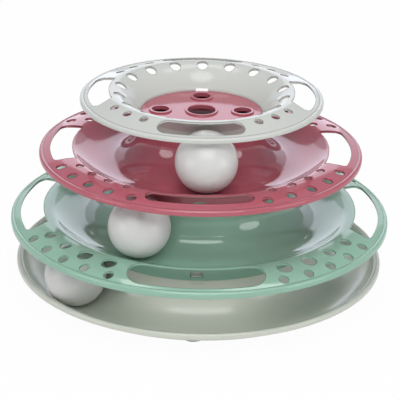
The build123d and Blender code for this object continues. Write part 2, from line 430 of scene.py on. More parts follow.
@dataclass(frozen=True)
class Slot:
    """A curved slot with round ends, at the front or the back of a flange."""

    outer: float
    width: float
    half_angle: float
    azimuth: float
    side_steps: int = 40
    end_steps: int = 20

    def outline(self, pen: Pen, spread: float) -> None:
        """Draws the slot from above.

        Args:
            pen: A plan pen.
            spread: How far outside its edge it is drawn.
        """
        radius, half_width = self.outer - self.width / 2, self.width / 2 + spread
        half = self.half_angle - degrees(self.width / 2 / radius)
        start = radians(self.azimuth - 90 - half)
        reach = radius + half_width
        pen.begin((reach * cos(start), reach * sin(start)), self.azimuth - half)
        pen.arc(reach, 2 * half, self.side_steps)
        pen.arc(half_width, 180, self.end_steps)
        pen.arc(radius - half_width, -2 * half, self.side_steps)
        pen.arc(half_width, 180, self.end_steps)
        pen.close()


@dataclass(frozen=True)
class CutOut:
    """An opening at the right or the left of a flange, which leaves only its rim standing."""

    outer: float
    width: float
    inner_angle: float
    outer_angle: float
    azimuth: float
    corner: float = 4.0
    corner_steps: int = 10
    outer_steps: int = 48
    inner_steps: int = 40

    def outline(self, pen: Pen, spread: float) -> None:
        """Draws the opening from above.

        Args:
            pen: A plan pen.
            spread: How far outside its edge it is drawn.
        """
        middle = self.azimuth - 90
        inner, outer = self.outer - self.width, self.outer + spread
        ends = [
            Vector((size * cos(radians(turn)), size * sin(radians(turn))))
            for size, turn in ((inner, self.inner_angle), (self.outer, self.outer_angle))
        ]
        way = (ends[1] - ends[0]).normalized()
        side = Vector((-way.y, way.x))
        foot = ends[0] + side * spread
        round_centre = foot - side * self.corner
        centre = meeting(round_centre, way, outer - self.corner)
        tip = degrees(atan2(centre.y, centre.x))
        lean = degrees(atan2(way.y, way.x))
        back = meeting(foot, way, inner - spread)
        start = degrees(atan2(back.y, back.x))
        turned = Matrix.Rotation(radians(middle), 2)
        first = turned @ Vector((back.x, -back.y))
        pen.begin(tuple(first), middle - lean)
        corner_at = turned @ Vector((centre.x + side.x * self.corner, -centre.y - side.y * self.corner))
        pen.line_to(tuple(corner_at))
        pen.arc(self.corner, 90 - tip + lean, self.corner_steps)
        pen.arc(outer, 2 * tip, self.outer_steps)
        pen.arc(self.corner, 90 - tip + lean, self.corner_steps)
        pen.line_to(tuple(turned @ back))
        pen.heading = middle + start - 90
        pen.arc(inner - spread, -2 * start, self.inner_steps)
        pen.close()


@dataclass
class Piercing:
    """Everything that is cut down through a flange, each with an eased edge above and below."""

    shapes: list[Hole | Slot | CutOut]
    ease: float = 0.45
    reach: float = 4.0
    half_height: float = 10.0
    spread_share: float = 1.2
    lead_share: float = 0.6
    steps: tuple[Point, ...] = ((0.741, -0.034), (0.357, -0.234), (0.094, -0.577), (0.0, -1.0))

    def cutter(self, upper: list[Point], under: list[Point]) -> Object:
        """Makes the shape to cut, whose flared edges follow the flange's two sides.

        Args:
            upper: The flange's upper side as radius and height, by rising radius.
            under: Its underside.

        Returns:
            One object that holds a closed shape for each opening.
        """
        pen = Pen("flange_cutter", Flat.PLAN)
        for shape in self.shapes:
            shape.outline(pen, self.spread_share * self.ease)
        bpy.ops.mesh.select_mode(type="FACE")
        select_mesh()
        top = self.half_height + self.reach
        bpy.ops.transform.translate(value=(0, 0, top * MM))
        level = self.half_height + self.lead_share * self.ease
        self.push(level - top)
        select_mesh()
        bpy.ops.mesh.normals_make_consistent(inside=False)
        self.pick_faces_below(pen.obj, (top + level) / 2)
        spread = self.spread_share
        drop = self.lead_share
        for next_spread, next_drop in self.steps:
            bpy.ops.mesh.inset(
                thickness=(spread - next_spread) * self.ease * MM,
                depth=(drop - next_drop) * self.ease * MM,
                use_boundary=True,
            )
            spread, drop = next_spread, next_drop
        self.push(-(self.half_height + drop * self.ease))
        bpy.ops.mesh.delete(type="ONLY_FACE")
        bpy.ops.mesh.select_mode(type="VERT")
        select_mesh()
        bpy.ops.mesh.duplicate()
        bpy.ops.transform.resize(value=(1, 1, -1), center_override=(0, 0, 0))
        finish_mesh(2 * JOIN_GAP)
        self.drape(pen.obj, upper, under)
        return pen.obj

    def push(self, height: float) -> None:
        """Extrudes the picked faces straight up or down."""
        extrude((0, 0, height * MM))

    def pick_faces_below(self, obj: Object, height: float) -> None:
        """Selects the faces whose middle lies under a height, in edit mode."""
        select_mesh(False)
        set_mode("OBJECT")
        for face in obj.data.polygons:
            face.select = face.center.z < height * MM and abs(face.normal.z) > LEVEL_NORMAL
        set_mode("EDIT")

    def drape(self, obj: Object, upper: list[Point], under: list[Point]) -> None:
        """Moves the flat cutter's edges on to the flange's two sides."""
        ceiling = max(point[1] for point in upper) + self.reach
        cellar = min(point[1] for point in under) - self.reach
        limit = self.half_height + self.reach / 2
        for vertex in obj.data.vertices:
            radius, height = hypot(vertex.co.x, vertex.co.y) / MM, vertex.co.z / MM
            if abs(height) > limit:
                vertex.co.z = (ceiling if height > 0 else cellar) * MM
            elif height > 0:
                vertex.co.z = (height - self.half_height + height_on(upper, radius)) * MM
            else:
                vertex.co.z = (height + self.half_height + height_on(under, radius)) * MM


@dataclass
class SnapSeat:
    """The catches on a spigot, the ledges under them and the windows that they snap into."""

    window: tuple[float, float] = (8.0, 3.6)
    sill: float = 2.3
    catch_width: float = 7.0
    catch_height: float = 1.8
    catch_land: float = 0.6
    catch_reach: float = 1.5
    catch_gap: float = 0.2
    ledge_width: float = 7.2
    ledge_height: float = 1.2
    ledge_reach: float = 0.7
    ledge_drop: float = 1.4
    depth: float = 0.8
    count: int = 4

    def prism(self, name: str, corners: list[Point], width: float, turn: float) -> Object:
        """Makes a straight prism from a section, copied round the tower.

        Args:
            name: Name of the new object.
            corners: The section as radius and height.
            width: The prism's width across the section.
            turn: Degrees that the whole set is turned to the right.

        Returns:
            One object with all the copies.
        """
        pen = Pen(name, Flat.SECTION)
        pen.begin(corners[0], 0)
        for corner in corners[1:] + corners[:1]:
            pen.line_to(corner)
        pen.close()
        bpy.ops.mesh.edge_face_add()
        bpy.ops.transform.translate(value=(0, -width / 2 * MM, 0))
        extrude((0, width * MM, 0))
        select_mesh()
        repeat_round(self.count)
        finish_mesh()
        pen.obj.data.transform(Matrix.Rotation(radians(turn), 4, "Z"))
        return pen.obj

    def catches(self, spigot: float, seat: float, turn: float) -> Object:
        """Makes the wedge-shaped catches on a spigot."""
        sill = seat + self.sill + self.catch_gap
        corners = [
            (spigot - self.depth, sill),
            (spigot + self.catch_reach, sill),
            (spigot + self.catch_reach, sill + self.catch_land),
            (spigot, sill + self.catch_height),
            (spigot - self.depth, sill + self.catch_height),
        ]
        return self.prism("catches", corners, self.catch_width, turn)

    def ledges(self, hub: float, seat: float, turn: float) -> Object:
        """Makes the small ledges on the hub wall under the seat."""
        under = seat - self.ledge_drop
        corners = [
            (hub - self.depth, under),
            (hub, under),
            (hub + self.ledge_reach, under - self.ledge_reach),
            (hub + self.ledge_reach, under - self.ledge_height),
            (hub - self.depth, under - self.ledge_height),
        ]
        return self.prism("ledges", corners, self.ledge_width, turn)

    def windows(self, skirt: float, seat: float, wall: Wall, turn: float) -> Object:
        """Makes the cutters of the windows in a skirt."""
        width, height = self.window
        sill = seat + self.sill
        inner, outer = skirt - 2 * wall.thickness, skirt + 2 * wall.thickness
        corners = [(inner, sill), (outer, sill), (outer, sill + height), (inner, sill + height)]
        return self.prism("windows", corners, width, turn)


@dataclass(frozen=True)
class PlasticFinish:
    """Glossy plastic with a slow drift of its colour, handling marks, a faint skin and painted shade along
    the rim's crease.
    """

    name: str
    colour: Colour
    deep: Colour
    roughness: float = 0.08
    shine: float = 0.55
    drift: float = 0.5
    # Radius of the rim's crease, along which painted shade darkens the colour.
    crease: float = 0.0


@dataclass
class Tier:
    """A moulded tier of the tower."""

    piece: str
    node: str
    finish: PlasticFinish
    shapes: list[Hole | Slot | CutOut] = field(default_factory=list)
    wall: Wall = field(default_factory=Wall)
    smooth_angle: float = 32.0
    seat: SnapSeat = field(default_factory=SnapSeat)

    def pierce(self, obj: Object, upper: list[Point], under: list[Point]) -> None:
        """Cuts the tier's openings out of its flange."""
        if self.shapes:
            cutter = Piercing(self.shapes).cutter(rising(upper), rising(under))
            combine(obj, cutter, Join.CUT)

    def finished(self, obj: Object) -> Object:
        """Shades and dresses the tier and puts it in the place of its CAD node."""
        smooth(obj, self.smooth_angle)
        obj.data.materials.clear()
        obj.data.materials.append(PLASTIC.material(self.finish))
        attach(obj, "tower")
        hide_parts(self.node)
        LOG.info("%s: %d faces", self.piece, len(obj.data.polygons))
        return obj


@dataclass
class TrackTier(Tier):
    """A track dish on its hub, with or without a skirt below and a pierced flange."""

    track: float = 80.0
    floor: float = 46.1
    reach: float = 45.0
    dish_angle: float = 31.7
    lip: float = 10.0
    flange_radius: float = 49.0
    flange_angle: float = 25.5
    rim_drop: float = 2.6
    spigot_rise: float = 6.5
    web: float = 12.0
    skirt: float = 0.0
    seat_below: float = 0.0
    bore: float = 0.0
    collar: float = 0.0
    collar_height: float = 1.0
    turn: float = 0.0
    turn_above: float = 0.0
    sweep_steps: int = 24
    under_sweep_steps: int = 22
    dish_steps: int = 18
    lip_steps: int = 12
    flange_steps: int = 10
    collar_steps: int = 4
    root_steps: int = 2

    def hub_top(self, pen: Pen, hub: float, spigot: float, seat: float, top: float) -> None:
        """Draws the hub from its opening over the spigot and the seat to the top of its wall."""
        ease = self.wall.ease
        if self.bore:
            pen.begin((self.bore + ease, top + self.collar_height), 0)
            pen.line_to((self.collar - ease, pen.at[1]))
            pen.arc(ease, -90, self.collar_steps)
            pen.line_to((self.collar, top + ease))
            pen.arc(ease, 90, self.collar_steps)
        else:
            pen.begin((spigot - self.wall.thickness - self.web, top), 0)
        pen.line_to((spigot - ease, top))
        pen.arc(ease, -90, EASE_STEPS)
        pen.line_to((spigot, seat + ease))
        pen.arc(ease, 90, self.root_steps)
        if hub - ease - pen.at[0] > ease:
            pen.line_to((hub - ease, seat))
        pen.arc(ease, -90, EASE_STEPS)

    def hub_inside(self, pen: Pen, hub: float, spigot: float, seat: float, top: float) -> None:
        """Draws the hub's inside from its wall back to the opening."""
        wall, ease = self.wall.thickness, self.wall.ease
        pen.line_to((hub - wall, seat - wall))
        pen.line_to((spigot - wall, seat - wall))
        pen.line_to((spigot - wall, top - wall))
        if self.bore:
            pen.line_to((self.bore, top - wall))
            pen.line_to((self.bore, top + self.collar_height - ease))
            pen.arc(ease, -90, self.collar_steps)
        else:
            inner = spigot - wall - self.web
            pen.line_to((inner, top - wall))
            pen.line_to((inner, top))

    def skirt_wall(self, pen: Pen) -> float:
        """Draws the skirt down from the floor's underside and back up.

        Args:
            pen: A pen at the inner end of the floor's flat underside.

        Returns:
            How far the sweep of the floor has already turned where the skirt's inside meets it.
        """
        wall, ease = self.wall.thickness, self.wall.ease
        sweep = self.wall.sweep + wall
        centre = (pen.at[0], pen.at[1] + sweep)
        outer = degrees(asin((pen.at[0] - self.skirt) / sweep))
        inner = degrees(asin((pen.at[0] - self.skirt + wall) / sweep))
        pen.arc(sweep, -outer, self.root_steps)
        pen.line_to((self.skirt, self.seat_below + ease))
        pen.heading = 270
        self.wall.end(pen)
        pen.line_to((self.skirt - wall, centre[1] - sweep * cos(radians(inner))))
        pen.heading = 180 - inner
        return inner

    def build(self) -> Object:
        """Models the tier and dresses it.

        Returns:
            The finished piece.
        """
        wall = self.wall
        hub = self.track - wall.flat / 2 - wall.sweep
        spigot = hub - wall.thickness - wall.seat_gap
        seat = self.floor + wall.seat_rise
        top = seat + self.spigot_rise
        run = self.reach - wall.flat / 2 - wall.rim_reach(self.flange_radius, self.flange_angle)
        dish = run / sin(radians(self.dish_angle)) - self.lip
        pen = Pen(self.piece, Flat.SECTION)
        self.hub_top(pen, hub, spigot, seat, top)
        pen.line_to((hub, self.floor + wall.sweep))
        pen.arc(wall.sweep, 90, self.sweep_steps)
        upper = len(pen.trail)
        pen.line(wall.flat)
        pen.arc(dish, self.dish_angle, self.dish_steps)
        pen.arc(self.lip, -self.dish_angle, self.lip_steps)
        if self.flange_angle:
            pen.arc(self.flange_radius, -self.flange_angle, self.flange_steps)
        upper_points = pen.trail[upper:]
        wall.rim(pen, self.flange_angle, self.rim_drop)
        under = len(pen.trail) - 1
        if self.flange_angle:
            pen.arc(self.flange_radius - wall.thickness, self.flange_angle, self.flange_steps)
        pen.arc(self.lip - wall.thickness, self.dish_angle, self.lip_steps)
        pen.arc(dish + wall.thickness, -self.dish_angle, self.dish_steps)
        under_points = pen.trail[under:]
        pen.line(wall.flat)
        done = self.skirt_wall(pen) if self.skirt else 0.0
        pen.arc(wall.sweep + wall.thickness, done - 90, self.under_sweep_steps)
        self.hub_inside(pen, hub, spigot, seat, top)
        obj = pen.turned(wall.facets)
        combine(obj, self.seat.catches(spigot, seat, self.turn_above), Join.UNITE)
        combine(obj, self.seat.ledges(hub, seat, self.turn_above), Join.UNITE)
        if self.skirt:
            combine(obj, self.seat.windows(self.skirt, self.seat_below, wall, self.turn), Join.CUT)
        self.pierce(obj, upper_points, under_points)
        self.add_fittings(obj, top)
        return self.finished(obj)

    def add_fittings(self, obj: Object, top: float) -> None:
        """Adds what only one tier has; a plain tier has nothing."""


@dataclass
class BaseTier(TrackTier):
    """The lowest track, with a round socket under its floor for each foot."""

    foot_circle: float = 91.5
    post: float = 8.35
    socket: float = 6.55
    post_bottom: float = 1.4
    socket_top: float = 4.2
    foot_count: int = 4
    foot_turn: float = 0.0

    def foot_bars(self, name: str, radius: float, bottom: float, top: float) -> Object:
        """Makes upright round bars on the feet's circle."""
        bars = round_bars(name, self.foot_circle, radius, (bottom, top), self.foot_count)
        bars.data.transform(Matrix.Rotation(radians(self.foot_turn), 4, "Z"))
        return bars

    def track_air(self) -> Object:
        """Makes the room over the track, down to the middle of its wall."""
        sweep = self.wall.sweep + self.wall.thickness / 2
        middle = self.track - self.wall.flat / 2
        height = self.floor + self.wall.sweep
        pen = Pen("track_air", Flat.SECTION)
        pen.begin((middle - sweep, height), 270)
        pen.arc(sweep, 90, self.sweep_steps)
        pen.line(self.reach)
        pen.line_to((pen.at[0], height))
        pen.line_to((middle - sweep, height))
        return pen.turned(self.wall.facets)

    def add_fittings(self, obj: Object, top: float) -> None:
        """Adds the posts that carry the feet, with their sockets."""
        height = self.floor + self.wall.sweep / 2
        posts = self.foot_bars("foot_posts", self.post, self.post_bottom, height)
        combine(posts, self.track_air(), Join.CUT)
        combine(obj, posts, Join.UNITE)
        combine(obj, self.foot_bars("foot_sockets", self.socket, 0, self.socket_top), Join.CUT)


@dataclass
class PlateTier(TrackTier):
    """The middle ring, whose hub is closed by a plate with collared sockets."""

    side_circle: float = 26.7
    side_bore: float = 5.75
    side_collar: float = 7.6
    side_count: int = 4
    bore_overrun: float = 4.0

    def add_fittings(self, obj: Object, top: float) -> None:
        """Adds the four smaller collars and cuts their bores."""
        wall = self.wall
        collar_span = (top - wall.thickness / 2, top + self.collar_height)
        bore_span = (top - 2 * wall.thickness, top + self.bore_overrun)
        ring = (self.side_count, wall.ease)
        collars = round_bars("side_collars", self.side_circle, self.side_collar, collar_span, *ring)
        combine(obj, collars, Join.UNITE)
        bores = round_bars("side_bores", self.side_circle, self.side_bore, bore_span, *ring)
        combine(obj, bores, Join.CUT)


@dataclass
class BowlTier(Tier):
    """The open bowl at the top: a skirt, a flared wall, a brow and a sloping flange."""

    inner: float = 39.2
    seat_height: float = 113.5
    crest: float = 132.7
    skirt_rise: float = 4.35
    foot: float = 3.0
    bowl_angle: float = 40.0
    bowl_bend: float = 12.0
    brow: float = 11.85
    flange_angle: float = 15.5
    flange_run: float = 14.65
    rim_drop: float = 1.5
    foot_steps: int = 8
    under_foot_steps: int = 6
    bowl_steps: int = 14
    brow_steps: int = 14
    flange_steps: int = 6

    def build(self) -> Object:
        """Models the bowl and dresses it.

        Returns:
            The finished piece.
        """
        wall = self.wall
        thick, ease = wall.thickness, wall.ease
        low, high = self.bowl_angle + self.bowl_bend, self.bowl_angle - self.bowl_bend
        foot_share, brow_share = cos(radians(low)), cos(radians(high))
        rise = self.crest - self.seat_height - self.skirt_rise
        bowl_rise = rise - self.foot * foot_share - self.brow * (1 - brow_share)
        bowl = bowl_rise / (brow_share - foot_share)
        pen = Pen(self.piece, Flat.SECTION)
        pen.begin((self.inner, self.seat_height + ease), 90)
        pen.line(self.skirt_rise - ease)
        upper = len(pen.trail) - 1
        pen.arc(self.foot, low - 90, self.foot_steps)
        pen.arc(bowl, -2 * self.bowl_bend, self.bowl_steps)
        pen.arc(self.brow, -high - self.flange_angle, self.brow_steps)
        pen.line(self.flange_run, self.flange_steps)
        upper_points = pen.trail[upper:]
        wall.rim(pen, self.flange_angle, self.rim_drop)
        under = len(pen.trail) - 1
        pen.line(self.flange_run, self.flange_steps)
        pen.arc(self.brow - thick, high + self.flange_angle, self.brow_steps)
        pen.arc(bowl - thick, 2 * self.bowl_bend, self.bowl_steps)
        pen.arc(self.foot - thick, 90 - low, self.under_foot_steps)
        under_points = pen.trail[under:]
        pen.line_to((self.inner + thick, self.seat_height + ease))
        wall.end(pen)
        obj = pen.turned(wall.facets)
        combine(obj, self.seat.windows(self.inner + thick, self.seat_height, wall, 0), Join.CUT)
        self.pierce(obj, upper_points, under_points)
        return self.finished(obj)


@dataclass
class RollingBall:
    """A hollow ball in its track, with the fine weld line of its two halves."""

    piece: str
    node: str
    track: float
    floor: float
    azimuth: float
    finish: PlasticFinish
    radius: float = 19.75
    gap: float = 0.3
    weld_width: float = 0.3
    weld_depth: float = 0.12
    weld_lean: float = -67.0
    weld_steps: int = 4
    segments: int = 96

    def build(self) -> Object:
        """Models the ball and dresses it.

        Returns:
            The finished piece.
        """
        place = on_circle(self.track, self.azimuth) * MM
        place.z = (self.floor + self.gap + self.radius) * MM
        deselect_all()
        bpy.ops.mesh.primitive_uv_sphere_add(
            segments=self.segments, ring_count=self.segments // 2, radius=self.radius * MM
        )
        obj = bpy.context.object
        obj.name = self.piece
        set_mode("EDIT")
        bpy.ops.mesh.select_mode(type="EDGE")
        select_mesh(False)
        set_mode("OBJECT")
        for edge in obj.data.edges:
            edge.select = all(abs(obj.data.vertices[index].co.z) < JOIN_GAP for index in edge.vertices)
        set_mode("EDIT")
        bpy.ops.mesh.bevel(offset=self.weld_width * MM, segments=self.weld_steps, profile=ROUND_PROFILE)
        set_mode("OBJECT")
        for vertex in obj.data.vertices:
            share = abs(vertex.co.z) / (self.weld_width * MM)
            if share < 1:
                flat = Vector((vertex.co.x, vertex.co.y, 0)).normalized()
                dip = self.weld_depth * (1 - share * share) * MM
                height = vertex.co.z
                reach = sqrt((self.radius * MM) ** 2 - height**2) - dip
                vertex.co = flat * reach + Vector((0, 0, height))
        lean = Matrix.Rotation(radians(self.weld_lean), 4, "X")
        obj.data.transform(Matrix.Translation(place) @ lean)
        pick(obj)
        bpy.ops.object.shade_smooth()
        obj.data.materials.append(PLASTIC.material(self.finish))
        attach(obj, self.node)
        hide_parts(self.node)
        LOG.info("%s: %d faces", self.piece, len(obj.data.polygons))
        return obj


@dataclass
class RubberFoot:
    """A round rubber foot pressed into its socket, with eased edges and a dished sole."""

    piece: str
    node: str
    azimuth: float
    circle: float = 91.5
    radius: float = 6.5
    height: float = 4.2
    ease: float = 0.6
    sole: float = 3.6
    dish: float = 0.25
    edge_steps: int = 5
    smooth_angle: float = 35.0

    def build(self) -> Object:
        """Models the foot and dresses it.

        Returns:
            The finished piece.
        """
        pen = Pen(self.piece, Flat.SECTION)
        pen.begin((0.0, self.dish), 0)
        pen.line_to((self.sole - self.dish, self.dish))
        pen.line_to((self.sole, 0))
        pen.line_to((self.radius - self.ease, 0))
        pen.heading = 0
        pen.arc(self.ease, 90, self.edge_steps)
        pen.line_to((self.radius, self.height - self.ease / 2))
        pen.arc(self.ease / 2, 90, EASE_STEPS)
        pen.line_to((0.0, self.height))
        obj = pen.turned(ROUND_FACETS)
        obj.data.transform(Matrix.Translation(on_circle(self.circle, self.azimuth) * MM))
        smooth(obj, self.smooth_angle)
        obj.data.materials.append(RUBBER.material())
        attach(obj, "tower")
        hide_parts(self.node)
        LOG.info("%s: %d faces", self.piece, len(obj.data.polygons))
        return obj


class NodeBench:
    """Short ways to lay nodes in a tree. An input is given as a value or as the output to join to it."""

    def __init__(self, tree: NodeTree) -> None:
        """Works on one node tree."""
        self.tree = tree

    def fill(self, node: Node, inputs: dict[str | int, object]) -> None:
        """Gives a node's named or numbered inputs their values and links."""
        for key, value in inputs.items():
            if isinstance(value, NodeSocket):
                self.tree.links.new(value, node.inputs[key])
            else:
                node.inputs[key].default_value = value

    def add(self, kind: str, inputs: dict[str | int, object] | None = None, **values: object) -> Node:
        """Adds a node, sets its properties and fills its inputs.

        Args:
            kind: The node's type.
            inputs: Its inputs, by name or number.
            values: Its properties.

        Returns:
            The node.
        """
        node = self.tree.nodes.new(kind)
        for key, value in values.items():
            setattr(node, key, value)
        self.fill(node, inputs or {})
        return node

    def math(self, operation: str, *values: object) -> NodeSocket:
        """Gives the result of a sum."""
        return self.add("ShaderNodeMath", dict(enumerate(values)), operation=operation).outputs[0]

    def noise(self, place: NodeSocket, scale: float, detail: float) -> NodeSocket:
        """Gives a noise over a place."""
        inputs = {"Vector": place, "Scale": scale, "Detail": detail}
        return self.add("ShaderNodeTexNoise", inputs).outputs["Fac"]

    def ramp(self, value: NodeSocket, source: Point, target: Point) -> NodeSocket:
        """Gives a value taken from one range to another."""
        ends = {"From Min": source[0], "From Max": source[1], "To Min": target[0], "To Max": target[1]}
        return self.add("ShaderNodeMapRange", {"Value": value, **ends}).outputs["Result"]

    def mix(self, factor: NodeSocket, first: object, second: object, blend: str = "MIX") -> NodeSocket:
        """Gives a mix of two colours."""
        inputs = {"Factor": factor, "A": first, "B": second}
        return self.add("ShaderNodeMix", inputs, data_type="RGBA", blend_type=blend).outputs["Result"]

    def bump(self, height: NodeSocket, strength: float, distance: float) -> NodeSocket:
        """Gives the normal of a fine relief."""
        inputs = {"Height": height, "Strength": strength, "Distance": distance}
        return self.add("ShaderNodeBump", inputs).outputs["Normal"]


def new_material(name: str) -> tuple[Material, NodeBench, Node]:
    """Makes a material and gives it with its bench and its Principled shader."""
    material = bpy.data.materials.new(name)
    material.use_nodes = True
    return material, NodeBench(material.node_tree), material.node_tree.nodes["Principled BSDF"]


class PlasticMaker:
    """Makes the plastic materials, which share one group for the moulding's skin and the painted shade in
    its crease; sizes in metres.
    """

    drift_noise = (14, 2)
    mark_noise = (42, 5)
    mark_range = (0.35, 0.75)
    mark_roughness = (0.85, 1.25)
    peel_noise = (260, 1)
    peel_strength = 0.03
    peel_depth = 0.0004
    # Painted shade: a dark band of this half width along the rim's crease radius, standing in for the shade
    # that falls in the crease.
    painted_crease_half_width = 0.0006
    painted_crease_strength = 0.6
    painted_crease_shade = (0.22, 0.22, 0.22, 1)
    ior = 1.5

    def __init__(self) -> None:
        """Starts with no group built."""
        self.group: NodeTree | None = None

    def skin(self) -> NodeTree:
        """Builds the shared group once: colour drift, painted shade along the rim's crease, handling marks
        and a fine relief.

        Returns:
            The node group.
        """
        if self.group:
            return self.group
        self.group = bpy.data.node_groups.new("moulded_skin_and_painted_crease_shade", "ShaderNodeTree")
        colour, number = "NodeSocketColor", "NodeSocketFloat"
        sockets = {
            "INPUT": {"Colour": colour, "Deep": colour, "Drift": number, "Gloss": number, "Crease": number},
            "OUTPUT": {"Colour": colour, "Roughness": number, "Relief": number},
        }
        for side, kinds in sockets.items():
            for name, kind in kinds.items():
                self.group.interface.new_socket(name=name, in_out=side, socket_type=kind)
        bench = NodeBench(self.group)
        given = bench.add("NodeGroupInput").outputs
        place = bench.add("ShaderNodeTexCoord").outputs["Object"]
        drift = bench.math("MULTIPLY", bench.noise(place, *self.drift_noise), given["Drift"])
        mix = bench.mix(drift, given["Colour"], given["Deep"])
        flat = bench.add("ShaderNodeVectorMath", {0: place, 1: (1, 1, 0)}, operation="MULTIPLY")
        reach = bench.add("ShaderNodeVectorMath", {0: flat.outputs["Vector"]}, operation="LENGTH")
        gap = bench.math("ABSOLUTE", bench.math("SUBTRACT", reach.outputs["Value"], given["Crease"]))
        # Painted shade along the crease radius: darkest on it, fading out at the half width.
        line = bench.ramp(gap, (0, self.painted_crease_half_width), (self.painted_crease_strength, 0))
        marks = bench.ramp(bench.noise(place, *self.mark_noise), self.mark_range, self.mark_roughness)
        result = {
            # The colour is multiplied by the painted crease shade.
            "Colour": bench.mix(line, mix, self.painted_crease_shade, "MULTIPLY"),
            "Roughness": bench.math("MULTIPLY", marks, given["Gloss"]),
            "Relief": bench.noise(place, *self.peel_noise),
        }
        bench.add("NodeGroupOutput", result)
        return self.group

    def material(self, finish: PlasticFinish) -> Material:
        """Gives a finish's material, made once.

        Args:
            finish: The finish that it shows.

        Returns:
            The material.
        """
        known = bpy.data.materials.get(finish.name)
        if known:
            return known
        material, bench, shader = new_material(finish.name)
        inputs = {
            "Colour": (*finish.colour, 1),
            "Deep": (*finish.deep, 1),
            "Drift": finish.drift,
            "Gloss": finish.roughness,
            "Crease": finish.crease * MM,
        }
        skin = bench.add("ShaderNodeGroup", inputs, node_tree=self.skin()).outputs
        dressed = {
            "Base Color": skin["Colour"],
            "Roughness": skin["Roughness"],
            "Normal": bench.bump(skin["Relief"], self.peel_strength, self.peel_depth),
            "IOR": self.ior,
            "Specular IOR Level": finish.shine,
        }
        bench.fill(shader, dressed)
        return material


class RubberMaker:
    """Makes the feet's dull rubber; sizes in metres."""

    name = "foot_rubber"
    grain_noise = (1400, 3)
    grain_strength = 0.25
    grain_depth = 0.0002
    shades = ((0.09, 0.085, 0.075, 1), (0.16, 0.15, 0.135, 1))
    roughness = 0.65

    def material(self) -> Material:
        """Gives the rubber material, made once.

        Returns:
            The material.
        """
        known = bpy.data.materials.get(self.name)
        if known:
            return known
        material, bench, shader = new_material(self.name)
        grain = bench.noise(bench.add("ShaderNodeTexCoord").outputs["Object"], *self.grain_noise)
        shade = bench.add("ShaderNodeValToRGB", {"Fac": grain})
        for element, colour in zip(shade.color_ramp.elements, self.shades):
            element.color = colour
        normal = bench.bump(grain, self.grain_strength, self.grain_depth)
        dressed = {"Base Color": shade.outputs["Color"], "Normal": normal, "Roughness": self.roughness}
        bench.fill(shader, dressed)
        return material


PLASTIC = PlasticMaker()
RUBBER = RubberMaker()


def mirrored_row(radius: float, diameter: float, first: float, pitch: float, count: int) -> list[Hole]:
    """Lays a row of holes, the same in each quarter between a slot and a cut-out.

    Args:
        radius: Radius of the row's circle.
        diameter: Diameter of a hole.
        first: Azimuth of the first hole in a quarter.
        pitch: Step between holes, in degrees.
        count: Holes in a quarter.

    Returns:
        The row's holes.
    """
    quarter = [first + pitch * index for index in range(count)]
    half = quarter + [-azimuth for azimuth in quarter]
    return [Hole(radius, azimuth, diameter) for azimuth in half + [180 - azimuth for azimuth in half]]


@dataclass(frozen=True)
class SoftBox:
    """A soft lamp that hangs at a bearing from the tower and faces it; sizes in metres."""

    name: str
    azimuth: float
    elevation: float
    distance: float
    width: float
    height: float
    radiance: float
    shape: LampShape = LampShape.ELLIPSE
    colour: Colour = (1.0, 1.0, 1.0)

    def hang(self, target: Vector) -> None:
        """Adds the lamp.

        Args:
            target: The point that it faces.
        """
        data = bpy.data.lights.new(self.name, "AREA")
        data.shape = self.shape.value
        data.size, data.size_y = self.width, self.height
        area = self.width * self.height * (pi / 4 if self.shape is LampShape.ELLIPSE else 1)
        data.energy = self.radiance * pi * area
        data.color = self.colour
        lamp = bpy.data.objects.new(self.name, data)
        bpy.context.scene.collection.objects.link(lamp)
        turn, lift = radians(self.azimuth), radians(self.elevation)
        way = Vector((sin(turn) * cos(lift), -cos(turn) * cos(lift), sin(lift)))
        lamp.location = target + way * self.distance
        lamp.rotation_euler = way.to_track_quat("Z", "Y").to_euler()


